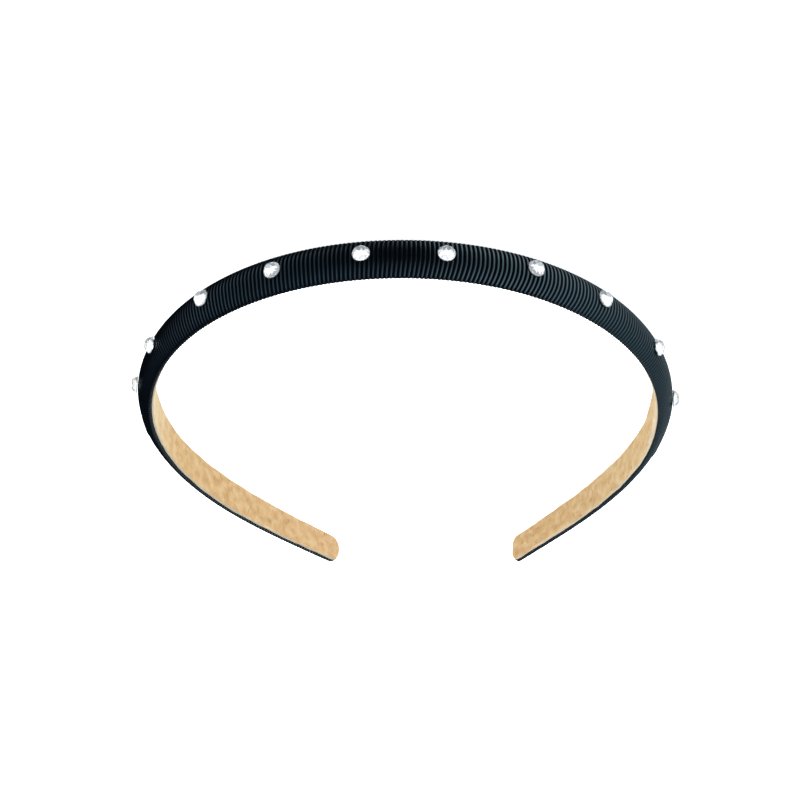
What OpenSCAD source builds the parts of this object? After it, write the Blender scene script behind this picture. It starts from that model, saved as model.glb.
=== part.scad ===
// Slim headband of a curved core wrapped in black ribbed ribbon, lined with tan
// suede and set with a row of flat-backed rhinestones.
// It lies on its side: the strip's width stands along Z, the crown of the bend
// faces -Y and the two legs run towards +Y. The origin is on the surface it lies
// on, under the middle of its box.

/* [Strip] */
// Length of the covered strip along its inner face, from tip to tip
strip_length = 383; // [350:1:410]
// Width of the covered strip over the crown and the sides
strip_width = 11; // [10:0.5:14]
// Width of the covered strip just before its rounded tips
tip_width = 8.1; // [8:0.1:9]
// Height of the domed outer face above the inner face, over the crown and sides
crown_height = 3.8; // [3.4:0.1:4.4]
// Height of the domed outer face above the inner face, at the tips
tip_height = 2.1; // [2:0.1:2.3]
// Radius that rounds each corner of the tips, seen from the side of the head
tip_round = 3.3; // [1.5:0.1:3.5]
// How far the strip's middle lies past the crown of the bend, along the strip
strip_shift = -2.2; // [-5:0.1:5]

/* [Bend] */
// Turn at the crown, in degrees for every 10 mm of strip
crown_turn = 8.2; // [7:0.1:9]
// Turn a quarter of the way down each leg
shoulder_turn = 9.1; // [8:0.1:10]
// Turn half of the way down each leg
side_turn = 9; // [8:0.1:10]
// Turn three quarters of the way down each leg
leg_turn = 5.7; // [4.5:0.1:6.5]
// Turn at the tips, where the legs begin to flare out again
tip_turn = -0.9; // [-3:0.1:1]

/* [Ribbon and lining] */
// Thickness of the ribbon that wraps the core
ribbon_wall = 1; // [1:0.1:1.2]
// Height of the ribbon's flat side over the crown, where the band can rest
side_height = 0.9; // [0.7:0.1:1.3]
// Height of the ribbon's flat side at the tips
tip_side_height = 0.4; // [0.4:0.1:0.6]
// Thickness of the suede lining
lining_wall = 1; // [1:0.1:1.5]
// Ribbon that shows beside the lining's edge
lining_inset = 0.5; // [0.4:0.1:1]

/* [Rhinestones] */
// Diameter of a rhinestone
stone_size = 4.5; // [3.8:0.1:5]
// Height of a rhinestone from its flat back to its table
stone_height = 1.6; // [1.3:0.1:2]
// Distance from one rhinestone to the next, along the strip
stone_pitch = 21.5; // [18:0.5:24]
// How far the row's middle lies past the crown of the bend, along the strip
row_shift = -6.1; // [-8:0.1:8]

/* [Hidden] */
STONE_COUNT = 10;

// Clearance between neighbouring pieces
seat_gap = 0.1;
// Chamfers on the ribbon's folded edge and on the lining's cut edge
ribbon_edge = 0.3;
lining_edge = 0.25;
half_length = strip_length / 2;

// Bend of one leg: share of the half length, degrees of turn for every 10 mm
BEND = [
    [0.00, crown_turn],
    [0.25, shoulder_turn],
    [0.50, side_turn],
    [0.75, leg_turn],
    [1.00, tip_turn]
];
// Sections of one leg: share of the half length, width, dome height, side height
SECTIONS = [
    [0.00, strip_width, crown_height, side_height],
    [0.55, strip_width, crown_height, side_height],
    [1.00, tip_width, tip_height, tip_side_height]
];
// How far each hand-set stone sits off its even place, along the strip, and off
// the strip's middle line, upwards
STONE_SLIPS = [-2, -0.6, 2.1, 0.9, 1.2, -0.5, -0.2, -0.6, 1.7, -1.3];
STONE_RISES = [0.3, 0.1, -0.1, -0.4, 0.1, 0.2, 0.5, 0, 0.1, -0.1];

// The strip's inner face as a line seen from above, walked in short steps
walk_step = 0.5;
walk_count = ceil((half_length + abs(strip_shift)) / walk_step) + 1;
function turn_per_mm(s) = lookup(s / half_length, BEND) / 10;
// Each row: distance from the crown, x, y, heading in degrees
WALK = [
    for (
        i = 0, x = 0, y = 0, heading = 0;
        i <= walk_count;
        x = x + walk_step * cos(heading + walk_step / 2 * turn_per_mm(i * walk_step)),
        y = y + walk_step * sin(heading + walk_step / 2 * turn_per_mm(i * walk_step)),
        heading = heading + walk_step * turn_per_mm((i + 0.5) * walk_step),
        i = i + 1
    ) [i * walk_step, x, y, heading]
];
WALK_X = [for (row = WALK) [row[0], row[1]]];
WALK_Y = [for (row = WALK) [row[0], row[2]]];
WALK_HEADING = [for (row = WALK) [row[0], row[3]]];
function spine_x(s) = sign(s) * lookup(abs(s), WALK_X);
function spine_y(s) = lookup(abs(s), WALK_Y);
function heading(s) = sign(s) * lookup(abs(s), WALK_HEADING);

// Place of a point that is `across` the width and `out` from the inner face
function from_crown(s, across, out) = [
    spine_x(s) + out * sin(heading(s)),
    spine_y(s) - out * cos(heading(s)),
    strip_width / 2 + across
];

// Section sizes at a distance from the crown
function column(n) = [for (row = SECTIONS) [row[0], row[n]]];
function share(s) = abs(s - strip_shift) / half_length;
function to_tip(s) = max(half_length - abs(s - strip_shift), 0);
// What the rounded corner takes off a side, for a piece `trim` smaller all round
function rounding(s, trim = 0) = let (corner = tip_round - trim)
    to_tip(s) >= corner ? 0 : corner - sqrt(corner ^ 2 - (corner - to_tip(s)) ^ 2);
// How far the dome sinks at a tip, for each mm that the rounding takes off a side
tip_drop = 0.15;
function half_width(s, trim = 0) =
    lookup(share(s), column(1)) / 2 - trim - rounding(s, trim);
function dome_height(s) = lookup(share(s), column(2)) - tip_drop * rounding(s);
function side_at(s) = lookup(share(s), column(3));

// Stations along the strip: close together round each tip, even between them
body_steps = 64;
tip_steps = 4;
even_half = half_length - tip_round;
TIP_STATIONS = [
    for (i = [0:tip_steps - 1]) half_length - tip_round * (1 - cos(90 * i / tip_steps))
];
STATIONS = concat(
    [for (i = [0:tip_steps - 1]) strip_shift - TIP_STATIONS[i]],
    [for (i = [0:body_steps]) strip_shift + even_half * (2 * i / body_steps - 1)],
    [for (i = [tip_steps - 1:-1:0]) strip_shift + TIP_STATIONS[i]]
);
last = len(STATIONS) - 1;
// A station drawn in from the tips, for a piece that ends `trim` short of them
function trimmed(s, trim) = strip_shift + (s - strip_shift) * (1 - trim / half_length);

// Rhinestones along the row
function stone_at(i) =
    row_shift + (i - (STONE_COUNT + 1) / 2) * stone_pitch + STONE_SLIPS[i - 1];
function stone_seat(i) = dome_height(stone_at(i)) + seat_gap;

// The middle of the whole outline, which the origin lies under
REACH = concat(
    [for (s = STATIONS) from_crown(s, 0, dome_height(s))],
    [for (i = [1:STONE_COUNT]) from_crown(stone_at(i), 0, stone_seat(i) + stone_height)]
);
function middle(axis) =
    (min([for (p = REACH) p[axis]]) + max([for (p = REACH) p[axis]])) / 2;
MIDDLE = [middle(0), middle(1), 0];
function place(s, across, out) = from_crown(s, across, out) - MIDDLE;

// Arc from one side over the dome to the other, `half` to each side of the middle
// and drawn in by `wall` from the outer face, whose dome has the height `top`; it
// ends on the side, or at least_side where a thin strip brings it lower
dome_steps = 16;
least_side = 0.15;
function dome(half, side, top, wall) = let (
    rise = top - side,
    radius = ((half + wall) ^ 2 + rise ^ 2) / (2 * rise),
    centre = top - radius,
    inner = radius - wall,
    reach = min(asin(half / inner), acos((least_side - centre) / inner))
) [
    for (i = [0:dome_steps]) let (turn = reach * (1 - 2 * i / dome_steps))
        [inner * sin(turn), centre + inner * cos(turn)]
];
// The same arc with the two points of the flat back below its ends
function backed_dome(half, side, top, wall) = let (
    arc = dome(half, side, top, wall),
    foot = arc[0][0]
) concat([[foot, 0]], arc, [[-foot, 0]]);

// Faces of a sheet of rings, `count` points to a ring, from point `first` on
function sheet_faces(first, rings, count, closed) = [
    for (
        i = [0:rings - 2],
        j = [0:closed ? count - 1 : count - 2],
        face = let (
            a = first + i * count + j,
            b = first + i * count + (j + 1) % count,
            c = a + count,
            d = b + count
        ) [[a, d, b], [a, c, d]]
    ) face
];
function turned_over(faces) = [for (f = faces) [f[0], f[2], f[1]]];
function joined(rings) = [for (ring = rings, point = ring) point];
// The face across one ring of `count` points, from point `first` on
function ring_face(first, count) = [for (i = [0:count - 1]) first + i];
function ring_back(first, count) = [for (i = [count - 1:-1:0]) first + i];

// A solid strip through one closed ring of points for each station
module strip(rings) {
    count = len(rings[0]);
    polyhedron(
        points = joined(rings),
        faces = concat(
            sheet_faces(0, len(rings), count, true),
            [ring_face(0, count), ring_back(last * count, count)]
        ),
        convexity = 6
    );
}

// A strip hollowed out from its flat back: an outer and an inner sheet, each with
// a face at its ends, and a flat rim that joins them round the open back
module tray(outer, inner) {
    n = len(outer[0]);
    m = len(inner[0]);
    first = n * len(outer);
    end_out = last * n;
    end_in = first + last * m;
    rim = [
        for (i = [0:last - 1], face = let (
            out_a = i * n,
            out_b = out_a + n,
            in_a = first + i * m,
            in_b = in_a + m
        ) [
            [out_b, out_a, in_a],
            [out_b, in_a, in_b],
            [in_b + m - 1, in_a + m - 1, out_a + n - 1],
            [in_b + m - 1, out_a + n - 1, out_b + n - 1]
        ]) face
    ];
    rim_ends = [
        [first, 0, n - 1, first + m - 1],
        [end_out, end_in, end_in + m - 1, end_out + n - 1]
    ];
    ends = [
        ring_face(0, n),
        ring_back(end_out, n),
        ring_back(first, m),
        ring_face(end_in, m)
    ];
    polyhedron(
        points = concat(joined(outer), joined(inner)),
        faces = concat(
            sheet_faces(0, len(outer), n, false),
            turned_over(sheet_faces(first, len(inner), m, false)),
            rim,
            rim_ends,
            ends
        ),
        convexity = 8
    );
}

// Core: the springy plastic strip that the ribbon is wound on
function core_ring(s) = let (
    inset = ribbon_wall + seat_gap,
    at = trimmed(s, inset)
) [
    for (p = backed_dome(half_width(s, inset), side_at(s), dome_height(s), inset))
        place(at, p[0], p[1])
];

module band_core() {
    color("dimgray") strip([for (s = STATIONS) core_ring(s)]);
}

// Ribbon cover: a wall round the dome and the sides, open where the lining goes
function cover_outer(s) = let (half = half_width(s)) [
    for (p = concat(
        [[half - ribbon_edge, 0], [half, ribbon_edge]],
        dome(half, side_at(s), dome_height(s), 0),
        [[-half, ribbon_edge], [ribbon_edge - half, 0]]
    )) place(s, p[0], p[1])
];
function cover_inner(s) = let (
    at = trimmed(s, ribbon_wall),
    half = half_width(s, ribbon_wall)
) [
    for (p = backed_dome(half, side_at(s), dome_height(s), ribbon_wall))
        place(at, p[0], p[1])
];

module ribbon_cover() {
    color([0.05, 0.05, 0.07]) tray(
        [for (s = STATIONS) cover_outer(s)],
        [for (s = STATIONS) cover_inner(s)]
    );
}

// Lining: a suede strip glued over the flat back, a little narrower than it
function lining_ring(s) = let (
    at = trimmed(s, lining_inset),
    half = half_width(s, lining_inset),
    back = -seat_gap,
    face = -seat_gap - lining_wall
) [
    for (p = [
        [half, back],
        [-half, back],
        [-half, face + lining_edge],
        [lining_edge - half, face],
        [half - lining_edge, face],
        [half, face + lining_edge]
    ]) place(at, p[0], p[1])
];

module suede_lining() {
    color([0.85, 0.7, 0.48]) strip([for (s = STATIONS) lining_ring(s)]);
}

// Rhinestone: flat back, thin girdle, and a crown of stars, kites and a table
module rhinestone(i) {
    sides = 16;
    r = stone_size / 2;
    girdle = 0.16 * stone_height;
    table_r = 0.56 * r;
    star_r = 0.8 * r;
    fall = (stone_height - girdle) / (r - table_r);
    star_z = stone_height - fall * (star_r * cos(360 / sides) - table_r);
    function at_angle(radius, k, z) = [
        radius * cos(360 * k / sides),
        radius * sin(360 * k / sides),
        z
    ];
    back = [for (k = [0:sides - 1]) at_angle(r, k, 0)];
    rim = [for (k = [0:sides - 1]) at_angle(r, k, girdle)];
    stars = [for (k = [1:2:sides - 1]) at_angle(star_r, k, star_z)];
    table = [for (k = [0:2:sides - 2]) at_angle(table_r, k, stone_height)];
    eighth = sides / 2;
    rim_0 = sides;
    star_0 = 2 * sides;
    table_0 = star_0 + eighth;
    crown = [
        for (k = [0:eighth - 1], face = let (
            star = star_0 + k,
            next_star = star_0 + (k + 1) % eighth,
            corner = table_0 + k,
            next_corner = table_0 + (k + 1) % eighth,
            rim_a = rim_0 + 2 * k,
            rim_b = rim_a + 1,
            rim_c = rim_0 + (2 * k + 2) % sides
        ) [
            [corner, star, next_corner],
            [next_corner, star, rim_c],
            [next_corner, rim_c, next_star],
            [star, rim_a, rim_b],
            [star, rim_b, rim_c]
        ]) face
    ];
    s = stone_at(i);
    color("white")
        translate(place(s, STONE_RISES[i - 1], stone_seat(i)))
            rotate([0, 90, heading(s) - 90])
                polyhedron(
                    points = concat(back, rim, stars, table),
                    faces = concat(
                        [ring_face(0, sides), ring_back(table_0, eighth)],
                        sheet_faces(0, 2, sides, true),
                        turned_over(crown)
                    ),
                    convexity = 4
                );
}

band_core();
ribbon_cover();
suede_lining();
for (i = [1:STONE_COUNT])
    rhinestone(i);
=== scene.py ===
# %% [markdown]
# # A jewelled headband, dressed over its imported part
# The real thing is a springy plastic strip wound with black grosgrain ribbon,
# lined with tan suede and set with ten small flat-backed rhinestones. The packed
# part brings plain solids of these pieces. This lesson keeps them as the frame
# and gives each one the surface that the eye and the fingers would find.

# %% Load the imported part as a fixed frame
import math
import bpy
import numpy as np
from mathutils import Matrix, Quaternion, Vector


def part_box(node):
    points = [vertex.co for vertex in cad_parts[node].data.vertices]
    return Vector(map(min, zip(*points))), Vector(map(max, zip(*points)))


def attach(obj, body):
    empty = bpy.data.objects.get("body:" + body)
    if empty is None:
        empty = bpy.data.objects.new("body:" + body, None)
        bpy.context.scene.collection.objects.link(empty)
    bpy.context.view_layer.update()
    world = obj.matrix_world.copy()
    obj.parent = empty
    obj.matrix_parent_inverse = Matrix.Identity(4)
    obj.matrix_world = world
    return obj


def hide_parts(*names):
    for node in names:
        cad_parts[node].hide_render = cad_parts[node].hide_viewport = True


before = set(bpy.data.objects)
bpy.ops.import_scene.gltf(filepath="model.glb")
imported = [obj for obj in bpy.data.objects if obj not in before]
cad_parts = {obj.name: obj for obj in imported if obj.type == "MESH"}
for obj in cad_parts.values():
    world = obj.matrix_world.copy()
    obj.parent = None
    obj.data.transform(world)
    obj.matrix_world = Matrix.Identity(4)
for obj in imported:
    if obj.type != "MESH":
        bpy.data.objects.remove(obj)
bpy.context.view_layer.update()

print("nodes:", sorted(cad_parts))

# %% [markdown]
# ## The camera
# The part lies on its side, but the product picture shows it standing on its two
# legs, seen from the front and from well above. Seen from the lying part, that is
# a camera on the crown's side, some 33 degrees above the floor and turned upside
# down. A long lens keeps the two sides nearly parallel, as in the picture. We aim
# it at a point between the legs and then roll it about its own line of sight.

# %% Set up the camera
EYE = Vector((-0.07745, -0.77496, 0.49843))
AIM = Vector((0.00161, -0.00800, 0.00668))
ROLL = -179.151
LENS = 159.38
SENSOR_WIDTH = 36
NEAREST = 0.01
FARTHEST = 50

camera_data = bpy.data.cameras.new("camera")
camera_data.lens = LENS
camera_data.sensor_width = SENSOR_WIDTH
camera_data.clip_start = NEAREST
camera_data.clip_end = FARTHEST
camera = bpy.data.objects.new("camera", camera_data)
line_of_sight = AIM - EYE
upright = line_of_sight.to_track_quat("-Z", "Y")
roll = Quaternion((0, 0, 1), math.radians(ROLL))
camera.matrix_world = Matrix.LocRotScale(EYE, upright @ roll, None)
bpy.context.scene.collection.objects.link(camera)
bpy.context.scene.camera = camera
print("the camera is", round(line_of_sight.length, 3), "m from what it looks at")

# %% [markdown]
# ## Small helpers for materials
# Every finish here is a node tree that ends in the Principled shader. A few short
# helpers keep the trees readable. Each adds one node, fills its sockets with plain
# values or with what other nodes give, and hands back its own result.

# %% Helpers for node trees
def fill(tree, socket, value):
    """Link another node's output to a socket, or write a plain value into it."""
    if isinstance(value, bpy.types.NodeSocket):
        tree.links.new(value, socket)
    else:
        socket.default_value = value


def add_node(tree, kind, inputs=(), **settings):
    node = tree.nodes.new(kind)
    for name, value in settings.items():
        setattr(node, name, value)
    for socket, value in dict(inputs).items():
        fill(tree, node.inputs[socket], value)
    return node


def noise(tree, scale, detail, where=None, roughness=0.5):
    inputs = {"Scale": scale, "Detail": detail, "Roughness": roughness}
    if where is not None:
        inputs["Vector"] = where
    return add_node(tree, "ShaderNodeTexNoise", inputs).outputs["Fac"]


def colour_ramp(tree, factor, stops):
    ramp = add_node(tree, "ShaderNodeValToRGB", {"Fac": factor})
    elements = ramp.color_ramp.elements
    while len(elements) < len(stops):
        elements.new(0.5)
    for element, (position, colour) in zip(elements, stops):
        element.position = position
        element.color = (*colour, 1)
    return ramp.outputs["Color"]


# %% [markdown]
# ## Starting and filling a finish
# A new material brings its Principled shader along. Colour and relief reach it
# through links. A value that is the same all over goes straight on the shader's
# own socket, because an exported model keeps it only there.

# %% Helpers for whole finishes
def new_material(name):
    material = bpy.data.materials.new(name)
    material.use_nodes = True
    tree = material.node_tree
    return material, tree, tree.nodes["Principled BSDF"]


def set_shader(tree, shader, values):
    for name, value in values.items():
        fill(tree, shader.inputs[name], value)


# %% [markdown]
# ## The floor
# The picture was taken on a bright white ground that shows no shadow. So the
# floor is a wide, pale, matt sheet that glows enough to drown every shadow. Only
# the camera sees it, so it throws no light up at the band. It lies a hair below
# the part, because two surfaces in one plane would flicker.

# %% Build the floor
FLOOR_REACH = 6.0
FLOOR_DROP = 0.0002
FLOOR_TONES = [(0.3, (0.93, 0.93, 0.93)), (0.7, (0.96, 0.96, 0.96))]

corners = [(-1, -1), (1, -1), (1, 1), (-1, 1)]
floor_mesh = bpy.data.meshes.new("floor")
floor_mesh.from_pydata([(x * FLOOR_REACH, y * FLOOR_REACH, 0) for x, y in corners], [], [(0, 1, 2, 3)])
floor = bpy.data.objects.new("floor", floor_mesh)
floor.location.z = -FLOOR_DROP
bpy.context.scene.collection.objects.link(floor)
floor.visible_glossy = False
floor.visible_diffuse = False
floor.visible_transmission = False
floor.visible_shadow = False

floor_paint, tree, shader = new_material("floor_paint")
set_shader(tree, shader, {
    "Base Color": colour_ramp(tree, noise(tree, scale=60.0, detail=3.0), FLOOR_TONES),
    "Roughness": 0.9,
    "Specular IOR Level": 0.1,
    "Emission Color": (1, 1, 1, 1),
    "Emission Strength": 0.85,
})
floor.data.materials.append(floor_paint)
print("the floor is", 2 * FLOOR_REACH, "m wide")

# %% [markdown]
# ## The light tent
# In a photo studio, white cloth and black card stand round a shiny thing, and
# near-black yarn mirrors them. Lamps alone would give hot spots, so we paint the
# light on the sky, and a table gives its strength for each direction round the
# loop. It is dark in the middle, with a strong soft light on one side and a weaker
# one on the other, so that each rib of the ribbon gets one thin bright line.

# %% Shade the light tent round the loop
# Degrees round the loop from the crown's side, plus towards +X, and strength there
TENT = (
    (-180, 0.55), (-140, 0.6), (-124, 0.65), (-112, 0.85), (-102, 1.15), (-91, 1.5),
    (-80, 1.9), (-50, 1.85), (-38, 1.45), (-30, 0.95), (-22, 0.4), (-14, 0.06), (0, 0.0),
    (8, 0.02), (16, 0.2), (26, 0.42), (38, 0.5), (60, 0.6), (80, 0.68), (92, 0.5),
    (100, 0.22), (110, 0.02), (120, 0.0), (155, 0.01), (170, 0.35), (180, 0.55),
)
BRIGHTEST = 2.0


def maths(tree, operation, *values):
    return add_node(tree, "ShaderNodeMath", enumerate(values), operation=operation).outputs[0]


def map_range(tree, value, start, end, top=1.0, **settings):
    """Rise from 0 at `start` to `top` at `end`."""
    inputs = {0: value, 1: start, 2: end, 4: top}
    return add_node(tree, "ShaderNodeMapRange", inputs, **settings).outputs[0]


world = bpy.data.worlds.new("light_tent")
world.use_nodes = True
tent = world.node_tree
bpy.context.scene.world = world
looking = add_node(tent, "ShaderNodeTexCoord").outputs["Generated"]
looking_parts = add_node(tent, "ShaderNodeSeparateXYZ", {0: looking}).outputs
towards_crown = maths(tent, "MULTIPLY", looking_parts["Y"], -1.0)
round_loop = maths(tent, "ARCTAN2", looking_parts["X"], towards_crown)
share_of_turn = map_range(tent, round_loop, -math.pi, math.pi)
stops = [(degrees / 360 + 0.5, (value / BRIGHTEST,) * 3) for degrees, value in TENT]
wall_light = maths(tent, "MULTIPLY", colour_ramp(tent, share_of_turn, stops), BRIGHTEST)
print("stops round the tent:", len(TENT))

# %% [markdown]
# ## Patches of light
# The table only tells one side from another. Two soft round patches on the sky
# add a light over the front of the crown and a weak one beyond one leg. All of the
# light is bluish, as it is on the black ribbon in the picture.

# %% Add two patches of light
# Direction, strength, and degrees from the middle to where it starts to fade and ends
FRONT_PATCH = ((-0.1, -0.6, 0.78), 0.6, 12, 48)
SIDE_PATCH = ((0.9, 0.12, 0.3), 0.22, 8, 32)
# Share of the way from -X to +X, and colour there
CAST = [(0.35, (0.82, 0.98, 1.05)), (0.6, (0.67, 0.84, 1.0))]


def patch_of_light(direction, strength, fades, ends):
    middle = Vector(direction).normalized()
    near = add_node(tent, "ShaderNodeVectorMath", {0: looking, 1: middle}, operation="DOT_PRODUCT")
    outer = math.cos(math.radians(ends))
    inner = math.cos(math.radians(fades))
    return map_range(
        tent, near.outputs["Value"], outer, inner, top=strength, interpolation_type="SMOOTHSTEP"
    )


patches = maths(tent, "ADD", patch_of_light(*FRONT_PATCH), patch_of_light(*SIDE_PATCH))
tent_light = maths(tent, "ADD", wall_light, patches)
cast = colour_ramp(tent, map_range(tent, looking_parts["X"], -1.0, 1.0), CAST)
print("strength of the patches:", FRONT_PATCH[1], SIDE_PATCH[1])

# %% [markdown]
# ## What the glass sees
# A foiled stone throws back light from every side at once. In the picture each
# one is white with a single grey-blue crescent. The sky's node tree can tell which
# rays have passed through glass, so we give those a plainer sky, white with one
# dark band. A warm tone high up gives the glass some fire.

# %% Give the glass a tent of its own
SPARKLE = 1.3
WHITE = (1.0, 1.0, 1.0)
BAND_LOW = (0.0, 0.015, 0.045)
BAND_HIGH = (0.03, 0.055, 0.09)
WARM = (1.0, 0.86, 0.62)
# Share of the way from straight down to straight up, and colour there
FIRE = [(0.35, WHITE), (0.44, BAND_LOW), (0.62, BAND_HIGH), (0.69, WHITE), (0.75, WHITE), (0.83, WARM)]


def blend_colours(tree, kind, factor, first, second):
    inputs = {0: factor, 6: first, 7: second}
    return add_node(tree, "ShaderNodeMix", inputs, data_type="RGBA", blend_type=kind).outputs[2]


through_glass = add_node(tent, "ShaderNodeLightPath").outputs["Transmission Depth"]
was_glass = maths(tent, "GREATER_THAN", through_glass, 0.5)
fire = colour_ramp(tent, map_range(tent, looking_parts["Z"], -1.0, 1.0), FIRE)
strength = add_node(tent, "ShaderNodeMix", {0: was_glass, 2: tent_light, 3: SPARKLE}).outputs[0]
background = tent.nodes["Background"]
fill(tent, background.inputs["Color"], blend_colours(tent, "MIX", was_glass, cast, fire))
fill(tent, background.inputs["Strength"], strength)
print("brightest light that the glass sees:", SPARKLE)

# %% [markdown]
# ## Lamps for the suede
# Suede is matt, so it wants plain soft light from large panels rather than a tent.
# The panels are hidden from mirrors and from glass, or the ribbon and the foil
# would show them as bright squares. The view is set to Standard, which shows each
# colour as it was mixed.

# %% Set the lamps for the suede
# Name, place, what it is aimed at, width in metres and power in watts
PANELS = (
    ("panel_above", (0.0, 0.1, 1.3), (0, 0, 0), 0.9, 11.0),
    ("panel_open_end", (-0.2, 1.1, 0.6), (0, 0, 0), 0.7, 6.8),
    ("panel_across", (1.0, -0.1, 0.6), (-0.05, 0.02, 0), 0.6, 16.5),
)

for name, stand, target, size, power in PANELS:
    lamp = bpy.data.lights.new(name, "AREA")
    lamp.shape = "SQUARE"
    lamp.size = size
    lamp.energy = power
    panel = bpy.data.objects.new(name, lamp)
    towards = Vector(target) - Vector(stand)
    panel.rotation_euler = towards.to_track_quat("-Z", "Y").to_euler()
    panel.location = stand
    panel.visible_glossy = False
    panel.visible_transmission = False
    bpy.context.scene.collection.objects.link(panel)

view = bpy.context.scene.view_settings
view.view_transform = "Standard"
view.look = "None"
view.exposure = 0.0

# %% [markdown]
# ## The line of the strip
# The strip is flat stock bent into a horseshoe. We describe the bend by how much
# it turns for every 10 mm, at five places down each leg, and walk along it in
# small steps. The sizes are the ones that the part is made from, in millimetres,
# so each new surface lands on the solid that it stands for.

# %% Sizes of the strip
MM = 0.001
STRIP_LENGTH = 383.0
STRIP_SHIFT = -2.2
TIP_ROUND = 3.3
TIP_ROUND_RIGHT = 2.5
TIP_DROP = 0.15
HALF_LENGTH = STRIP_LENGTH / 2
BEND_UNIT = 10
# Share of the half length, and degrees of turn for every BEND_UNIT mm
BEND = np.array([(0.00, 8.2), (0.25, 9.1), (0.50, 9.0), (0.75, 5.7), (1.00, -0.9)])
# Share of the half length, width, dome height, side height
SECTIONS = np.array([(0.00, 11.0, 3.8, 0.9), (0.55, 11.0, 3.8, 0.9), (1.00, 8.1, 2.1, 0.4)])
WIDTH, DOME, SIDE = 1, 2, 3
print("length of one leg in mm:", HALF_LENGTH)

# %% [markdown]
# ## Walking along the bend
# A curve object could carry the strip, but it hides the numbers. Here each small
# step turns the heading a little and moves the point a little, and running sums
# give the place at any distance along the strip. One more helper reads a table:
# it finds a column's value between the rows, on straight lines.

# %% Walk along the bend
WALK_STEP = 0.25
WALK_BEYOND = 8


def look_up(table, where, column=1):
    return np.interp(where, table[:, 0], table[:, column])


def running_sum(values, step):
    return np.concatenate([[0], np.cumsum((values[1:] + values[:-1]) / 2 * step)])


walk = np.arange(0, HALF_LENGTH + WALK_BEYOND, WALK_STEP)
walk_heading = np.radians(running_sum(look_up(BEND, walk / HALF_LENGTH) / BEND_UNIT, WALK_STEP))
walk_x = running_sum(np.cos(walk_heading), WALK_STEP)
walk_y = running_sum(np.sin(walk_heading), WALK_STEP)
leg_turn = math.degrees(walk_heading[int(HALF_LENGTH / WALK_STEP)])
print("turn of one leg:", round(leg_turn, 1), "degrees")

# %% [markdown]
# ## Finding a place on the strip
# Every piece is placed by the same three numbers: how far along the strip from
# the crown, how far across its width, and how far out from its flat inner face.
# One function turns them into a point. A piece that is shorter than the strip
# keeps its shape and is only drawn in a little at both tips.

# %% Find a place on the strip
def from_crown(s, across, out):
    """Points at distance s along the strip, across its width and out from its inner face."""
    s, across, out = np.broadcast_arrays(s, across, out)
    side = np.sign(s)
    heading = side * np.interp(abs(s), walk, walk_heading)
    x = side * np.interp(abs(s), walk, walk_x) + out * np.sin(heading)
    y = np.interp(abs(s), walk, walk_y) - out * np.cos(heading)
    return np.stack([x, y, across], -1)


def trimmed(s, trim):
    """The same place along a strip that is `trim` shorter at each tip."""
    return STRIP_SHIFT + (s - STRIP_SHIFT) * (1 - trim / HALF_LENGTH)


tips = np.array([-HALF_LENGTH, HALF_LENGTH]) + STRIP_SHIFT
print("the two tips, seen from the crown, in mm:", from_crown(tips, 0, 0).round(1).tolist())

# %% [markdown]
# ## The strip's width and heights
# The strip gets narrower and flatter towards its tips, and its corners are rounded
# there. Short functions read the table of sections at any distance and take off
# what the corners cost.

# %% Measure the strip's section
def share_of_leg(s):
    return abs(s - STRIP_SHIFT) / HALF_LENGTH


def rounding(s, trim=0.0):
    """What the tip's rounded corner takes off a side, for a piece `trim` smaller all round."""
    corner = np.where(s < STRIP_SHIFT, TIP_ROUND_RIGHT, TIP_ROUND) - trim
    to_tip = np.maximum(HALF_LENGTH - abs(s - STRIP_SHIFT), 0)
    return corner - np.sqrt(corner**2 - np.clip(corner - to_tip, 0, corner) ** 2)


def half_width(s, trim=0.0):
    return look_up(SECTIONS, share_of_leg(s), WIDTH) / 2 - trim - rounding(s, trim)


def dome_height(s):
    return look_up(SECTIONS, share_of_leg(s), DOME) - TIP_DROP * rounding(s)


def side_height(s):
    return look_up(SECTIONS, share_of_leg(s), SIDE)


print("half the width at the crown in mm:", float(half_width(0.0)))

# %% [markdown]
# ## Setting the line on the part
# The lining's solid tells where the part has the crown of the bend. We draw the
# same flat strip here, compare the two boxes, and shift our line by the
# difference, so nothing has to be measured by eye.

# %% Find the crown of the bend on the part
LINING_INSET = 0.5
SEAT_GAP = 0.1
LINING_WALL = 1.0
CROWN_STATIONS = 2001

stations = np.linspace(-HALF_LENGTH, HALF_LENGTH, CROWN_STATIONS) + STRIP_SHIFT
edge = half_width(stations, LINING_INSET)
outline = np.concatenate([
    from_crown(trimmed(stations, LINING_INSET), side * edge, out)
    for side in (-1, 1)
    for out in (-SEAT_GAP - LINING_WALL, -SEAT_GAP)
])
low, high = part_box("suede_lining")
CROWN = (np.array(low) + np.array(high)) / 2 / MM - (outline.min(0) + outline.max(0)) / 2


def place(s, across, out):
    """The same point as in from_crown, on the part and in metres."""
    return (from_crown(s, across, out) + CROWN) * MM


print("crown of the bend in mm:", CROWN.round(2))

# %% [markdown]
# ## Meshes from rings of points
# Ribbon and lining are both strips, so both can be woven from rings of points
# that follow one another down the strip. A sheet joins each ring to the next with
# four-sided faces. A closed ring gives a solid strip, an open one gives a wall.

# %% Helpers for meshes
def sheet_faces(first, rings, count, closed):
    """Faces between rings of `count` points each, where `first` is the first point."""
    ring, point = np.meshgrid(
        np.arange(rings - 1), np.arange(count if closed else count - 1), indexing="ij"
    )
    here = first + ring * count + point
    beside = first + ring * count + (point + 1) % count
    return np.stack([here, here + count, beside + count, beside], -1).reshape(-1, 4)


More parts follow.
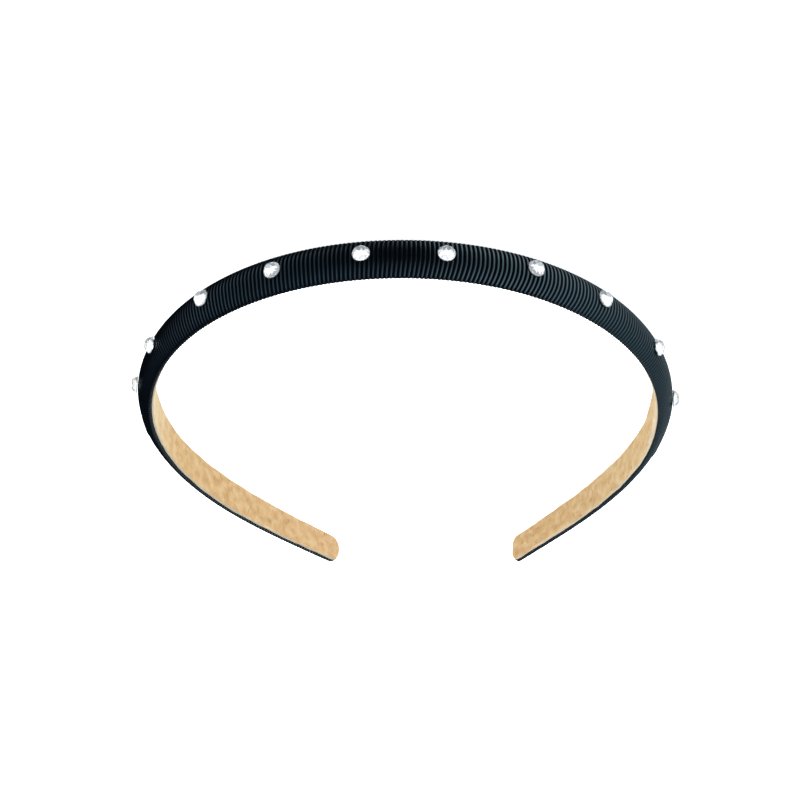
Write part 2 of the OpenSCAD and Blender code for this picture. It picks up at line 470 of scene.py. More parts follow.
def new_piece(name, points, faces, smooth=True):
    mesh = bpy.data.meshes.new(name)
    mesh.from_pydata(points.reshape(-1, 3).tolist(), [], faces)
    mesh.validate()
    mesh.update()
    mesh.polygons.foreach_set("use_smooth", [smooth] * len(mesh.polygons))
    piece = bpy.data.objects.new(name, mesh)
    bpy.context.scene.collection.objects.link(piece)
    return piece


def keep_values(piece, name, values):
    """Note a number on each point of the mesh, for the finish to read."""
    layer = piece.data.attributes.new(name, "FLOAT", "POINT")
    layer.data.foreach_set("value", np.asarray(values, np.float32).ravel())


# %% [markdown]
# ## An arc over the dome
# The core is domed: cut across, its top is an arc of a circle that stands on two
# low side walls. The outside of the ribbon follows such an arc, and its inside is
# the same arc drawn in by the wall of the cloth, so one function draws both.

# %% Draw an arc over the dome
LEAST_SIDE = 0.15
DOME_STEPS = 18


def dome(half, side, top, wall, steps):
    """Arc over the dome, `half` to each side and drawn in by `wall` from the outer face."""
    rise = top - side
    radius = ((half + wall) ** 2 + rise**2) / (2 * rise)
    centre = top - radius
    inner = radius - wall
    reach = np.minimum(np.arcsin(half / inner), np.arccos((LEAST_SIDE - centre) / inner))
    turn = reach[:, None] * (1 - 2 * np.arange(steps + 1) / steps)
    return inner[:, None] * np.sin(turn), centre[:, None] + inner[:, None] * np.cos(turn)


print("steps over the dome:", DOME_STEPS)

# %% [markdown]
# ## The ribbon's section
# Grosgrain is wound over the domed core and glued down on its flat back. Cut
# across, the ribbon follows the arc from one side wall to the other, turns a small
# round corner and ends a little way in, under the lining.

# %% Draw the ribbon's section
RIBBON_WALL = 1.0
RIBBON_EDGE = 0.3
GLUED_WIDTH = 0.95
EDGE_STEPS = 3


def cover_path(s):
    """The ribbon's outside from one glued edge, round the dome, to the other."""
    half = half_width(s)
    across, out = dome(half, side_height(s), dome_height(s), 0, DOME_STEPS)
    bend = np.linspace(0, np.pi / 2, EDGE_STEPS + 1)
    corner_across = (half - RIBBON_EDGE)[:, None] + RIBBON_EDGE * np.sin(bend)
    corner_out = np.broadcast_to(RIBBON_EDGE * (1 - np.cos(bend)), corner_across.shape)
    glued = (half - GLUED_WIDTH)[:, None]
    across = np.hstack([glued, corner_across, across, -corner_across[:, ::-1], -glued])
    out = np.hstack([glued * 0, corner_out, out, corner_out[:, ::-1], glued * 0])
    return across, out


def outward(across, out):
    """Unit directions that point away from the section's middle."""
    step_across = np.gradient(across, axis=1)
    step_out = np.gradient(out, axis=1)
    size = np.hypot(step_across, step_out)
    return step_out / size, -step_across / size


print("points round the ribbon's outside:", cover_path(np.array([0.0]))[0].shape[1])

# %% [markdown]
# ## The ribs
# Grosgrain gets its ribs from thick cords that lie across the ribbon under a
# cover of fine yarns. Each rib has a gently rounded, smooth top that shines, and
# falls off on both sides into a valley of loose fibres, which swallows the light.
# A bump map would vanish at the band's edge, where the ribs make a fine saw-tooth
# outline, so the ribs are real geometry. A short table shapes one rib, and a
# little chance makes some ribs wider than others.

# %% Count out the ribs
VALLEY = -1
RIB_TOP = 0.36
# Place across the rib from valley to valley, and height there in mm
RIB_SHAPE = np.array(
    [(VALLEY, -0.16), (-RIB_TOP, -0.018), (-0.18, -0.004), (0.18, -0.004), (RIB_TOP, -0.018)]
)
# Distance from the crown in mm, and width of one rib there
RIB_WIDTH = np.array([(0, 1.09), (30, 1.07), (60, 1.03), (90, 1.0), (200, 1.0)])
RIB_SEED = 7
RIB_CHANCE = 0.018
CHANCE_PLACES = 130
CHANCE_REACH = 200
COUNTING_STATIONS = 20001

random = np.random.default_rng(RIB_SEED)
fine = np.linspace(-HALF_LENGTH, HALF_LENGTH, COUNTING_STATIONS) + STRIP_SHIFT
chance_places = np.linspace(-CHANCE_REACH, CHANCE_REACH, CHANCE_PLACES)
wander = np.interp(fine, chance_places, random.normal(0, RIB_CHANCE, CHANCE_PLACES))
width = look_up(RIB_WIDTH, abs(fine))
ribs_so_far = running_sum(1 / (width * (1 + wander)), fine[1] - fine[0])
rib_count = int(ribs_so_far[-1])
ribs_so_far *= rib_count / ribs_so_far[-1]
in_rib = np.append(np.tile(RIB_SHAPE[:, 0], rib_count), VALLEY)
rib_height = np.append(np.tile(RIB_SHAPE[:, 1], rib_count), RIB_SHAPE[0, 1])
which_rib = np.append(np.repeat(np.arange(rib_count), len(RIB_SHAPE)), rib_count)
rib_stations = np.interp(which_rib + (in_rib + 1) / 2, ribs_so_far, fine)
print("ribs:", rib_count, "on", STRIP_LENGTH, "mm of strip")

# %% [markdown]
# ## Ribs that lean
# A ribbon wound by hand never sits quite square. Over the front third of the
# girth the ribs drift along the strip, most of all at the two shoulders. A short
# table gives the drift, and it fades out before the tips.

# %% Measure out the lean
# Distance from the crown in mm, and how far a rib drifts there near the front edge
LEAN = np.array([
    (-110, 0.0), (-70, 0.3), (-45, 0.4), (-26, 0.5), (-5, 0.3), (15, 0.3), (35, 0.65),
    (55, 0.55), (110, 0.0),
])
# Shares of the girth: how far the lean reaches from the front edge, and what it grows over
LEAN_REACH = 0.35
LEAN_GROWS = 0.25
LEAN_CURVE = 1.4


def lean(s, girth_share):
    """Drift along the strip at a share of the girth, from the front edge to the back one."""
    front = np.clip((LEAN_REACH - girth_share) / LEAN_GROWS, 0, None) ** LEAN_CURVE
    return look_up(LEAN, s) * front


print("drift at the front edge in mm:", [round(float(lean(v, 0.0)), 2) for v in (-40, 0, 40)])

# %% [markdown]
# ## An outline made by hand
# A ribbon wound and glued by hand lies tighter in one place than in the next. On
# the picture the dome swells and thins by a few tenths of a millimetre, with a
# small step on each leg where a fold of the ribbon ends. A table says where, which
# is easier to match to a picture than random noise.

# %% Let the outline waver
# Distance from the crown in mm, and how far the dome stands proud of its plain height
WAVER = np.array([
    (-200, 0.65), (-185, 0.5), (-172, 0.38), (-165, 0.25), (-140, 0.0), (-127.9, 0.0),
    (-127.5, 0.3), (-121, 0.12), (-110, 0.12), (-104, 0.0), (90, 0.0), (100, -0.18),
    (104, -0.12), (107.6, 0.06), (108, -0.14), (150, -0.2), (165, -0.12), (174, 0.1),
    (182, 0.35), (200, 0.45),
])
print("most and least that the dome stands proud in mm:", WAVER[:, 1].max(), WAVER[:, 1].min())

# %% [markdown]
# ## Setting out the cloth
# Displacing a smooth tube would blur the ribs, so every ring of points is placed
# by its own sum, five rings for each rib. The outside follows the domed section
# plus the rib's height. The inside is smooth, as it lies on the core.

# %% Place the ribbon's points
RIB_CREST = 0.05
INNER_STEPS = 6

across, out = cover_path(rib_stations)
out = out * (1 + look_up(WAVER, rib_stations) / dome_height(rib_stations))[:, None]
away_across, away_out = outward(across, out)
lift = (RIB_CREST + rib_height)[:, None]
arc_share = np.clip((np.arange(across.shape[1]) - EDGE_STEPS - 2) / DOME_STEPS, 0, 1)
leaning = rib_stations[:, None] + lean(rib_stations[:, None], arc_share)
outside = place(leaning, across + away_across * lift, out + away_out * lift)

inner_across, inner_out = dome(
    half_width(rib_stations, RIBBON_WALL),
    side_height(rib_stations),
    dome_height(rib_stations),
    RIBBON_WALL,
    INNER_STEPS,
)
foot = inner_across[:, :1]
inner_across = np.hstack([foot, inner_across, -foot])
inner_out = np.hstack([foot * 0, inner_out, foot * 0])
inside = place(trimmed(rib_stations, RIBBON_WALL)[:, None], inner_across, inner_out)
print("rings of points:", len(rib_stations))

# %% [markdown]
# ## Weaving the ribbon
# The rings become two walls of cloth, one inside the other. Two narrow rims join
# them along the glued edges, and three flat faces close each tip, so the ribbon is
# one solid with a real thickness.

# %% Weave the ribbon
rings = len(rib_stations)
outer_count = outside.shape[1]
inner_count = inside.shape[1]
first_in = rings * outer_count
last_out = first_in - outer_count
last_in = first_in + (rings - 1) * inner_count
faces = [
    sheet_faces(0, rings, outer_count, False),
    sheet_faces(first_in, rings, inner_count, False)[:, ::-1],
]
ring = np.arange(rings - 1)
for outer_edge, inner_edge, turned in ((0, 0, False), (outer_count - 1, inner_count - 1, True)):
    outer = ring * outer_count + outer_edge
    inner = first_in + ring * inner_count + inner_edge
    rim = np.stack([outer, inner, inner + inner_count, outer + outer_count], -1)
    faces.append(rim[:, ::-1] if turned else rim)
faces = np.concatenate(faces).tolist() + [
    list(range(outer_count)),
    list(range(last_out + outer_count - 1, last_out - 1, -1)),
    list(range(first_in + inner_count - 1, first_in - 1, -1)),
    list(range(last_in, last_in + inner_count)),
    [0, outer_count - 1, first_in + inner_count - 1, first_in],
    [last_out, last_in, last_in + inner_count - 1, last_out + outer_count - 1],
]
ribbon = new_piece("ribbon", np.concatenate([outside.reshape(-1, 3), inside.reshape(-1, 3)]), faces)
print("ribbon:", len(ribbon.data.polygons), "faces")

# %% [markdown]
# ## Tops and valleys
# The tops shine and the valleys don't, so each face gets its finish by the ring it
# belongs to. The edges between the two are marked as sharp, or smooth shading
# would round them together.

# %% Part the tops of the ribs from the valleys
edge_ends = np.empty(len(ribbon.data.edges) * 2, np.int32)
ribbon.data.edges.foreach_get("vertices", edge_ends)
edge_ends = edge_ends.reshape(-1, 2)
edge_rings = np.minimum(edge_ends // outer_count, rings - 1)
along_ring = (edge_ends.max(1) < first_in) & (edge_rings[:, 0] == edge_rings[:, 1])
beside_top = abs(in_rib) == RIB_TOP
sharp = ribbon.data.attributes.new("sharp_edge", "BOOLEAN", "EDGE")
sharp.data.foreach_set("value", along_ring & beside_top[edge_rings[:, 0]])

outside_faces = (rings - 1) * (outer_count - 1)
face_place = in_rib[np.arange(outside_faces) // (outer_count - 1)]
in_valley = np.ones(len(ribbon.data.polygons), np.int32)
in_valley[:outside_faces] = (face_place == VALLEY) | (face_place == RIB_TOP)
ribbon.data.polygons.foreach_set("material_index", in_valley)
print("faces in the valleys:", int(in_valley[:outside_faces].sum()), "of", outside_faces)

# %% [markdown]
# ## Places kept on the mesh
# A finish has to know where it is on the cloth. The mesh was made from distances,
# so we keep these on its points, and need no unwrapping: how far along the strip,
# how far round the girth, and how near to the glued edge.

# %% Note on the mesh where the ribs and the girth lie
RIM_WIDTH = 1.6

step_across = np.diff(across, axis=1, prepend=across[:, :1])
step_out = np.diff(out, axis=1, prepend=out[:, :1])
girth = np.cumsum(np.hypot(step_across, step_out), 1)
near_glue = np.clip(RIM_WIDTH - np.minimum(girth, girth[:, -1:] - girth), 0, 1)
for name, values in (("rim", near_glue), ("girth", girth)):
    keep_values(ribbon, name, np.append(values, np.zeros(rings * inner_count)))
distances = [np.repeat(rib_stations, count) for count in (outer_count, inner_count)]
keep_values(ribbon, "along", np.concatenate(distances))
print("girth of the ribbon at the crown in mm:", round(float(girth[rings // 2, -1]), 1))

# %% [markdown]
# ## Reading the mesh in a finish
# Cloth and leather need three more helpers. One reads a number that the mesh
# keeps, one lays two such numbers out as a flat place for a noise, and one turns
# a pattern into relief too fine to model.

# %% Helpers for cloth and leather
def kept(tree, name):
    return add_node(tree, "ShaderNodeAttribute", attribute_name=name).outputs["Fac"]


def flat_place(tree, along, across):
    return add_node(tree, "ShaderNodeCombineXYZ", {"X": along, "Y": across}).outputs[0]


def relief(tree, height, strength, depth):
    inputs = {"Height": height, "Strength": strength, "Distance": depth}
    return add_node(tree, "ShaderNodeBump", inputs).outputs["Normal"]


# %% [markdown]
# ## The ribbon's finish
# The yarn is black with a blue cast. The fine yarns lie tight and smooth over the
# tops of the ribs, so there the ribbon has the soft shine of silk. In the valleys
# the light gets lost between fibres, so they take a second, dull finish, a little
# darker as painted shade. Noise gives worn places, a bluish painted reflection of
# the light from one side fades in down one leg, lint sits by the glued edges, and
# a fine wave round the girth gives the yarns.

# %% Start a ribbon finish
YARN = 0.16
YARN_DEPTH = 0.02 * MM
# Where the painted bluish reflection starts and is full down one leg, and its colour
REFLECTION_STARTS = -38.0
REFLECTION_FULL = -75.0
REFLECTION_BLUE = (0.42, 0.92, 1.15, 1)
RIM_BLACK = (0.011, 0.0115, 0.0115, 1)
LINT_GREY = (0.09, 0.1, 0.1, 1)
BLACK = (0.0, 0.0, 0.0)


def ribbon_finish(name, dark, light, painted_reflection):
    material, tree, shader = new_material(name)
    girth_value = kept(tree, "girth")
    along_value = kept(tree, "along")
    rim_value = kept(tree, "rim")
    on_ribbon = flat_place(tree, along_value, girth_value)
    wear = noise(tree, scale=2.2, detail=4.0, where=on_ribbon)
    colour = colour_ramp(tree, wear, [(0.35, dark), (0.7, light)])
    # Painted reflection: bluish light added to the colour down one leg, for the light from that side
    reflection_share = map_range(tree, along_value, REFLECTION_STARTS, REFLECTION_FULL, top=painted_reflection)
    colour = blend_colours(tree, "ADD", reflection_share, colour, REFLECTION_BLUE)
    colour = blend_colours(tree, "MIX", rim_value, colour, RIM_BLACK)
    lint = noise(tree, scale=2.6, detail=3.0, where=on_ribbon)
    lint_spot = colour_ramp(tree, lint, [(0.63, BLACK), (0.7, WHITE)])
    lint_there = maths(tree, "MULTIPLY", lint_spot, rim_value)
    colour = blend_colours(tree, "MIX", lint_there, colour, LINT_GREY)
    yarn = maths(tree, "SINE", maths(tree, "MULTIPLY", girth_value, 2 * math.pi / YARN))
    yarn_relief = relief(tree, yarn, strength=0.2, depth=YARN_DEPTH)
    set_shader(tree, shader, {"Base Color": colour, "Normal": yarn_relief})
    return material, tree, shader


print("fine yarns on 1 mm of the girth:", round(1 / YARN, 1))

# %% [markdown]
# ## Two finishes from one recipe
# Tops and valleys are the same yarn, so one function makes both, and only tone,
# painted reflection and gloss differ. The valleys' tone is a little darker, as
# painted shade, and on one leg a bluish painted reflection of the light from that
# side lightens the valleys, so the ribs fade there.

# %% Make the ribbon's two finishes
# Darkest and lightest colour
TOP_TONES = ((0.0004, 0.001, 0.002), (0.0009, 0.002, 0.0033))
# The valleys' tones are a little darker than the tops': painted shade between the ribs
SHADED_VALLEY_TONES = ((0.0004, 0.0009, 0.0017), (0.0008, 0.0016, 0.0027))

ribbon_black, tree, shader = ribbon_finish("ribbon_black", *TOP_TONES, painted_reflection=0.0)
set_shader(tree, shader, {
    "Roughness": 0.21,
    "Specular IOR Level": 0.8,
    "Specular Tint": (0.66, 0.88, 1.0, 1),
})
# Only the valleys get the painted reflection down one leg
ribbon_valley, tree, shader = ribbon_finish("ribbon_valley", *SHADED_VALLEY_TONES, painted_reflection=0.012)
set_shader(tree, shader, {"Roughness": 0.9, "Specular IOR Level": 0.03})
ribbon.data.materials.append(ribbon_black)
ribbon.data.materials.append(ribbon_valley)
print("ribbon finishes:", [m.name for m in ribbon.data.materials])

# %% [markdown]
# ## The suede lining
# A strip of thin suede is glued over the band's flat back, so the band sits
# softly on the hair. It is cut by hand, a little narrower here and wider there,
# and the picture shows by how much. Two columns of a table say what is cut off
# each edge, and less than nothing means that the suede reaches farther.

# %% Plan how the lining is cut
LINING_STEP = 0.5
LINING_TIP = 0.1
# Distances from each tip in mm that get a ring of their own, for the round corners
TIP_RINGS = np.array([0.05, 0.2, 0.35])
# Distance from the crown in mm, and what is cut off the front edge and off the back one
LINING_CUT = np.array([
    (-200, 0.0, -0.2), (-150, 0.0, -0.45), (-136, -0.1, -0.35), (-130, -0.35, -0.25),
    (-122, -0.3, 0.0), (-112, 0.0, -0.1), (-100, 0.0, 0.1), (-89, 0.6, 0.3), (-74, 0.6, 0.3),
    (-50, 0.3, 0.3), (50, 0.3, 0.3), (64, 0.6, 0.3), (76, 0.6, 0.2), (88, 0.0, 0.0),
    (120, 0.0, 0.0), (135, 0.0, -0.3), (150, 0.0, -0.5), (175, 0.0, -0.35), (200, 0.0, -0.2),
])
FRONT, BACK = 1, 2

lining_count = int(STRIP_LENGTH / LINING_STEP) + 1
evenly = np.linspace(-HALF_LENGTH, HALF_LENGTH, lining_count) + STRIP_SHIFT
near_tip = HALF_LENGTH - TIP_RINGS
lining_stations = np.sort(np.concatenate([evenly, STRIP_SHIFT + near_tip, STRIP_SHIFT - near_tip]))
lining_half = half_width(lining_stations, LINING_INSET)
front_edge = lining_half - look_up(LINING_CUT, lining_stations, FRONT)
back_edge = lining_half - look_up(LINING_CUT, lining_stations, BACK)
print("widest place of the lining in mm:", round(float((front_edge + back_edge).max()), 2))

# %% [markdown]
# ## The lining's section
# The edges of the suede are skived, which means shaved thin with a knife, so the
# black ribbon shows beside them and almost no cut edge does. The ring of points
# runs up the curve of one skived edge, over the face, down the other and back
# along the glued side. All of this is in the mesh, so that it shows along the
# outline too.

# %% Draw the lining's section
SUEDE_THICKNESS = 0.5
SKIVED_EDGE = 0.15
SKIVE_WIDTH = 0.45
SKIVE_STEPS = 4
FACE_STEPS = 18
GLUED_SHARES = (0, 0.33, 0.67, 1)

glued_side = np.full_like(lining_half, -SEAT_GAP)
skive_rise = SUEDE_THICKNESS - SKIVED_EDGE
skive = [
    (SKIVE_WIDTH * (1 - math.cos(turn)), SKIVED_EDGE + skive_rise * math.sin(turn))
    for turn in np.linspace(0, math.pi / 2, SKIVE_STEPS + 1)
]
ring_across = [front_edge - inward for inward, depth in skive]
ring_out = [glued_side - depth for inward, depth in skive]
for share in np.linspace(1, 0, FACE_STEPS + 1)[1:-1]:
    ring_across.append((front_edge - SKIVE_WIDTH) * share - (back_edge - SKIVE_WIDTH) * (1 - share))
    ring_out.append(glued_side - SUEDE_THICKNESS)
ring_across += [inward - back_edge for inward, depth in skive[::-1]]
ring_out += [glued_side - depth for inward, depth in skive[::-1]]
for share in GLUED_SHARES:
    ring_across.append(front_edge * share - back_edge * (1 - share))
    ring_out.append(glued_side)
ring_across = np.stack(ring_across, 1)
ring_out = np.stack(ring_out, 1)
lining_ring = ring_across.shape[1]
print("points in one ring of the lining:", lining_ring)

# %% [markdown]
# ## Soft chance
# Leather is uneven in a soft way, without steps and without a pattern. A modifier
# with a texture could do that, but a sum of waves in many directions is just as
# short, never repeats and gives the same result each time.

# %% Sum up waves
WAVES = 24
SLOWEST, FASTEST = 0.5, 1.6
FULL_TURN = 6.3


def smooth_noise(s, across, size, seed):
    waves = np.random.default_rng(seed)
    total = np.zeros(np.broadcast(s, across).shape)
    for _ in range(WAVES):
        angle = waves.uniform(0, np.pi)
        pace = waves.uniform(SLOWEST, FASTEST) * 2 * np.pi / size
        ahead = s * np.cos(angle) + across * np.sin(angle)
        total += np.sin(pace * ahead + waves.uniform(0, FULL_TURN))
    return total / math.sqrt(WAVES / 2)


print("waves in one sum:", WAVES)

# %% [markdown]
# ## Dents and wandering edges
# The face has shallow dents where the nap lies flat, and its cut edges wander a
# little. One stretch of the suede on one leg is thicker, as the picture shows.

# %% Dent the face and let the cut edges wander
# Depth in mm, size in mm and seed
DENTS = ((0.03, 5.0, 3), (0.02, 1.6, 4))
EDGE_WANDER, EDGE_WAVE, EDGE_SEED = 0.05, 7.0, 5
EDGES_APART = 40
FACE_DEPTH = 0.9
EDGE_STARTS = 0.85
# Distance from the crown in mm, and how much thicker the suede is there
THICKER = np.array([(-124, 0.0), (-117, 0.45), (-109, 0.5), (-103, 0.2), (-100, 0.0)])

s_grid = trimmed(lining_stations, LINING_TIP)[:, None]
dents = sum(depth * smooth_noise(s_grid, ring_across, size, seed) for depth, size, seed in DENTS)
on_face = ring_out < -SEAT_GAP - FACE_DEPTH * SUEDE_THICKNESS
ring_out = ring_out + np.where(on_face, dents - look_up(THICKER, s_grid), 0)
which_edge = np.sign(ring_across)
cut = EDGE_WANDER * smooth_noise(s_grid, which_edge * EDGES_APART, EDGE_WAVE, EDGE_SEED)
near_edge = abs(ring_across) > EDGE_STARTS * lining_half[:, None]
ring_across = ring_across + which_edge * np.where(near_edge, cut, 0)
print("deepest dent in mm:", round(float(dents.max()), 3))

# %% [markdown]
# ## Closing the lining
# The rings of the lining are closed, so one sheet of faces and two flat ends make
# the whole strip. The mesh keeps the distances along and across for the finish,
# and how near a point is to the front edge.

# %% Make the lining's mesh
points = place(s_grid, ring_across, ring_out)
faces = sheet_faces(0, len(points), lining_ring, True).tolist()
faces.append(list(range(lining_ring)))
faces.append(list(range(len(points) * lining_ring - 1, (len(points) - 1) * lining_ring - 1, -1)))
lining = new_piece("lining", points, faces)
keep_values(lining, "along", np.repeat(s_grid[:, 0], lining_ring))
keep_values(lining, "across", ring_across)
keep_values(lining, "edge", np.maximum(ring_across, 0) / front_edge[:, None])
print("lining:", len(lining.data.polygons), "faces")

# %% [markdown]
# ## The suede's colours
# Suede is split leather brushed to a nap. Its colour is a warm tan, paler where
# the nap stands towards the light, with darker specks and short strokes where it
# lies flat. One noise gives the mottling, a stretched one the strokes, and a wide
# one says where the nap is rubbed.

# %% Mix the suede's colours
TANS = [(0.36, (0.70, 0.41, 0.175)), (0.5, (0.78, 0.495, 0.222)), (0.64, (0.84, 0.58, 0.3))]
STROKES = [(0.32, (0.66, 0.55, 0.43)), (0.46, WHITE)]
STROKE_STRETCH = 0.3
RUBBED = [(0.42, (0.25, 0.25, 0.25)), (0.6, WHITE)]

suede_tan, tree, shader = new_material("suede_tan")
along_value = kept(tree, "along")
across_value = kept(tree, "across")
on_strip = flat_place(tree, along_value, across_value)
mottle = noise(tree, scale=0.4, detail=5.0, where=on_strip)
base_colour = colour_ramp(tree, mottle, TANS)
stroke_place = flat_place(tree, along_value, maths(tree, "MULTIPLY", across_value, STROKE_STRETCH))
strokes = noise(tree, scale=1.3, detail=5.0, where=stroke_place, roughness=0.6)
stroke_colour = colour_ramp(tree, strokes, STROKES)
rubbed = noise(tree, scale=0.11, detail=2.0, where=on_strip)
where_rubbed = colour_ramp(tree, rubbed, RUBBED)
mixed = blend_colours(tree, "MULTIPLY", where_rubbed, base_colour, stroke_colour)
print("tones of tan:", len(TANS))

# %% [markdown]
# ## Paler and greyer places
# Three more layers go over the tan, each led by a distance that the mesh keeps.
# The tint changes down the legs, pinker towards the +X tip and greyer and bluer
# towards the -X tip, where it is painted light for the whiter light on that leg.
# Round the crown the tan is paler, a painted sheen for the nap seen at a flat
# angle, and along the skived front edge it is greyer.

# %% Tint the suede along the strip and paint its sheen
# Greyer and bluer towards the -X tip is painted light, for the whiter light on that leg
# Share of the strip's length, and tint there
HIDE_AND_LIGHT_TINT = [
    (0.03, (0.75, 0.73, 0.73)),
    (0.15, (0.77, 0.81, 0.86)),
    (0.85, (0.88, 0.78, 0.75)),
    (1.0, (1.0, 0.88, 0.92)),
]
# Where the painted sheen round the crown fades out and is full, how strong it is, and its colour
SHEEN_PAINT_ENDS = 118.0
SHEEN_PAINT_FULL = 80.0
SHEEN_PAINT_MOST = 0.6
PAINTED_SHEEN_TAN = (0.86, 0.70, 0.47, 1)
EDGE_RAMP = [(0.9, BLACK), (0.97, (0.85, 0.85, 0.85))]
EDGE_GREY = (0.33, 0.29, 0.23, 1)

leg_share = map_range(tree, along_value, -HALF_LENGTH, HALF_LENGTH)
mixed = blend_colours(tree, "MULTIPLY", 1.0, mixed, colour_ramp(tree, leg_share, HIDE_AND_LIGHT_TINT))
from_middle = maths(tree, "ABSOLUTE", along_value)
# Painted sheen: paler tan round the crown, for the bloom of the nap seen at a flat angle
painted_sheen_share = map_range(tree, from_middle, SHEEN_PAINT_ENDS, SHEEN_PAINT_FULL, top=SHEEN_PAINT_MOST)
mixed = blend_colours(tree, "MIX", painted_sheen_share, mixed, PAINTED_SHEEN_TAN)
at_edge = colour_ramp(tree, kept(tree, "edge"), EDGE_RAMP)
mixed = blend_colours(tree, "MIX", at_edge, mixed, EDGE_GREY)
print("the suede is paler up to", SHEEN_PAINT_ENDS, "mm from the crown")

# %% [markdown]
# ## The nap
# The nap is a short fur of fibres. A rough noise as relief breaks up the light on
# it, the surface has almost no gloss, and a little sheen gives the bloom that
# suede has at flat angles.

# %% Raise the nap
NAP_DEPTH = 0.12 * MM

nap = noise(tree, scale=9.0, detail=6.0, where=on_strip, roughness=0.75)
set_shader(tree, shader, {
    "Base Color": mixed,
    "Normal": relief(tree, nap, strength=0.6, depth=NAP_DEPTH),
    "Roughness": 0.95,
    "Specular IOR Level": 0.15,
    "Sheen Weight": 0.2,
    "Sheen Roughness": 0.55,
    "Sheen Tint": (1.0, 0.9, 0.7, 1),
})
lining.data.materials.append(suede_tan)
print("nodes in the suede's finish:", len(tree.nodes))

# %% [markdown]
# ## The rhinestones
# A flat-backed rhinestone is a slice of cut glass: a table on top, a ring of
# stars and kites round it, a thin girdle and a flat back with silver foil. We set
# out its points ring by ring: the back, the top of the girdle, the lower corners
# of the stars and the corners of the table.

# %% Mark out one rhinestone
STONE_SIZE = 4.5
STONE_HEIGHT = 1.6
SIDES = 16
# Share of the stone's height, and two shares of its radius
GIRDLE_SHARE = 0.16
TABLE_SHARE = 0.56
STAR_SHARE = 0.8

stone_radius = STONE_SIZE / 2
girdle = GIRDLE_SHARE * STONE_HEIGHT
table_radius = TABLE_SHARE * stone_radius
star_radius = STAR_SHARE * stone_radius
fall = (STONE_HEIGHT - girdle) / (stone_radius - table_radius)
star_height = STONE_HEIGHT - fall * (star_radius * math.cos(2 * math.pi / SIDES) - table_radius)


def stone_corner(radius, corner, height):
    angle = 2 * math.pi * corner / SIDES
    return (radius * math.cos(angle), radius * math.sin(angle), height)


stone_points = np.array(
    [stone_corner(stone_radius, corner, 0) for corner in range(SIDES)]
    + [stone_corner(stone_radius, corner, girdle) for corner in range(SIDES)]
    + [stone_corner(star_radius, corner, star_height) for corner in range(1, SIDES, 2)]
    + [stone_corner(table_radius, corner, STONE_HEIGHT) for corner in range(0, SIDES, 2)]
)
print("points of one stone:", len(stone_points))

# %% [markdown]
# ## Its facets
# Each eighth of the crown has a star, a kite and two girdle facets. They stay
# flat-shaded, because sharp facets are what makes a cut stone flash. The back and
# the girdle come first in the list, since they get the foil: glass alone would
# let the black ribbon show through.

# %% Cut its facets
eighths = SIDES // 2
rim = SIDES
star = 2 * SIDES
table = star + eighths
stone_facets = [list(range(SIDES - 1, -1, -1))]
stone_facets += [[k, (k + 1) % SIDES, rim + (k + 1) % SIDES, rim + k] for k in range(SIDES)]
foiled_facets = len(stone_facets)
stone_facets.append(list(range(table, table + eighths)))
for k in range(eighths):
    this_star = star + k
    next_star = star + (k + 1) % eighths
    this_corner = table + k
    next_corner = table + (k + 1) % eighths
    low_left = rim + 2 * k
    low_middle = low_left + 1
    low_right = rim + (2 * k + 2) % SIDES
    stone_facets += [
        [this_corner, this_star, next_corner],
        [next_corner, this_star, low_right, next_star],
        [this_star, low_left, low_middle],
        [this_star, low_middle, low_right],
    ]
print("facets of one stone:", len(stone_facets))

# %% [markdown]
# ## Setting the stones
# Stones glued by hand never sit quite on their marks. A table gives how far each
# one slipped along the strip and across it, and how it is turned. Its foiled back
# lies flat over the top of the dome, where its solid is.

# %% Set the ten stones
STONE_PITCH = 21.5
ROW_SHIFT = -6.1
# For each stone, its slip along and across the strip in mm, and its turn in degrees
STONES = (
    (-2, 0.3, 21), (-0.6, 0.1, 12), (2.1, -0.1, 15), (0.9, -0.4, 12), (1.2, 0.1, 27),
    (-0.5, 0.2, 21), (-0.2, 0.5, 36), (-0.6, 0, 27), (1.7, 0.1, 30), (-1.3, -0.1, 24),
)

stones = []
for i, (slip, rise, turned) in enumerate(STONES, 1):
    turn = math.radians(turned)
    s = ROW_SHIFT + (i - (len(STONES) + 1) / 2) * STONE_PITCH + slip
    heading = np.sign(s) * np.interp(abs(s), walk, walk_heading)
    away = np.array([math.sin(heading), -math.cos(heading), 0])
    level = np.array([math.cos(heading), math.sin(heading), 0])
    along = level * math.cos(turn) + np.array([0, 0, math.sin(turn)])
    up = np.cross(away, along)
    seat = from_crown(s, rise, dome_height(s) + SEAT_GAP) + CROWN
    points = seat + stone_points[:, :1] * -up + stone_points[:, 1:2] * along + stone_points[:, 2:] * away
    stone = new_piece(f"crystal_{i}", points * MM, stone_facets, smooth=False)
    for facet in range(foiled_facets):
        stone.data.polygons[facet].material_index = 1
    stones.append(stone)
    low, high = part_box(f"rhinestone_{i}")
    middle = (points.min(0) + points.max(0)) / 2
    off = abs(middle - (np.array(low) + np.array(high)) / 2 / MM).max()
    print(f"crystal_{i} sits {off:.3f} mm off its solid")

# %% [markdown]
# ## Glass and foil
# Clear glass takes only a hint of colour. Light that runs round in a stone for
# longer than it is traced would be lost and leave black specks, and a trace of
# glow in the glass stands for it. The foil is a mirror, a little blurred, because
# the silvering follows the small unevenness of the glued back.

# %% Make the stones' two finishes
GLASS_TINTS = [(0.3, (0.95, 0.97, 1.0)), (0.7, WHITE)]
FOIL_TINTS = [(0.3, (0.86, 0.87, 0.9)), (0.7, (0.95, 0.95, 0.94))]

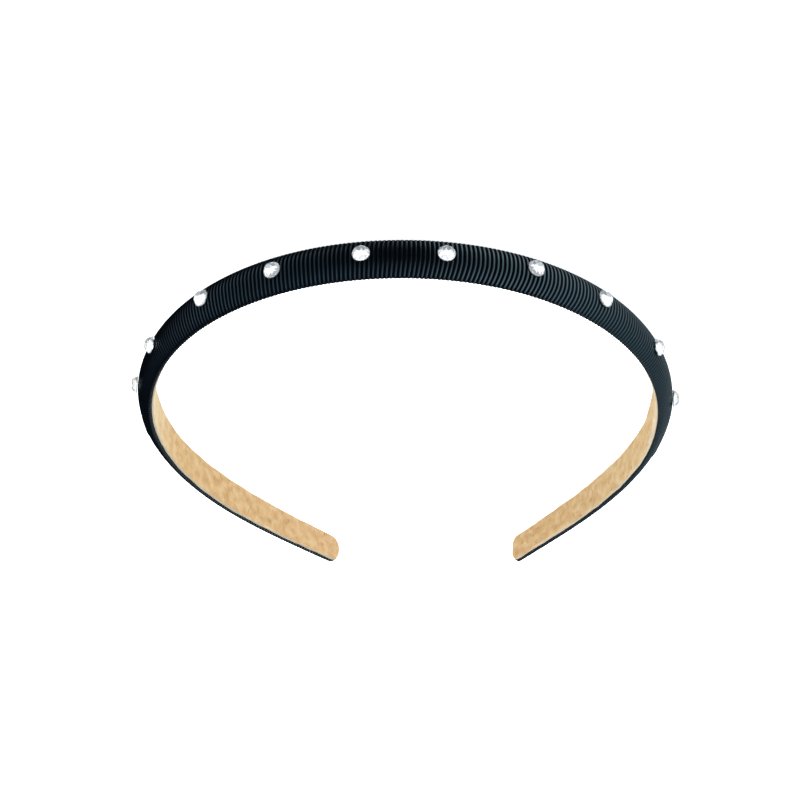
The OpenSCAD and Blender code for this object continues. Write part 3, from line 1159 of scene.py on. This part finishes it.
crystal, tree, shader = new_material("crystal")
set_shader(tree, shader, {
    "Base Color": colour_ramp(tree, noise(tree, scale=900.0, detail=2.0), GLASS_TINTS),
    "Roughness": 0.02,
    "IOR": 1.49,
    "Transmission Weight": 0.93,
    "Emission Color": (0.93, 0.97, 1.0, 1),
    "Emission Strength": 0.07,
})
foil, tree, shader = new_material("foil")
set_shader(tree, shader, {
    "Base Color": colour_ramp(tree, noise(tree, scale=1200.0, detail=3.0), FOIL_TINTS),
    "Metallic": 0.88,
    "Roughness": 0.08,
})
for stone in stones:
    stone.data.materials.append(crystal)
    stone.data.materials.append(foil)
print("finishes:", [m.name for m in stones[0].data.materials])

# %% [markdown]
# ## The core's finish
# The core never shows, but whoever takes the model apart will find it. It is
# dark injection-moulded plastic with faint, cloudy flow marks.

# %% Make the core's finish
PLASTICS = [(0.3, (0.02, 0.02, 0.022)), (0.7, (0.035, 0.035, 0.038))]
FLOW_DEPTH = 0.05 * MM

core_plastic, tree, shader = new_material("core_plastic")
spot = add_node(tree, "ShaderNodeTexCoord").outputs["Object"]
flow = noise(tree, scale=90.0, detail=4.0, where=spot)
set_shader(tree, shader, {
    "Base Color": colour_ramp(tree, flow, PLASTICS),
    "Normal": relief(tree, flow, strength=0.2, depth=FLOW_DEPTH),
    "Roughness": 0.45,
})
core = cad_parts["band_core"]
core.data.materials.clear()
core.data.materials.append(core_plastic)
print("core finish:", [m.name for m in core.data.materials])

# %% [markdown]
# ## Tying the pieces to the part
# Each new piece is tied to the body that it moves with, and the solid that it
# takes the place of is hidden.

# %% Tie the pieces to the part
pairs = [(ribbon, "ribbon_cover", "ribbon_black"), (lining, "suede_lining", "suede_tan")]
pairs += [(stone, f"rhinestone_{i}", "crystal") for i, stone in enumerate(stones, 1)]
for piece, node, finish in pairs:
    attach(piece, "root")
    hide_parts(node)
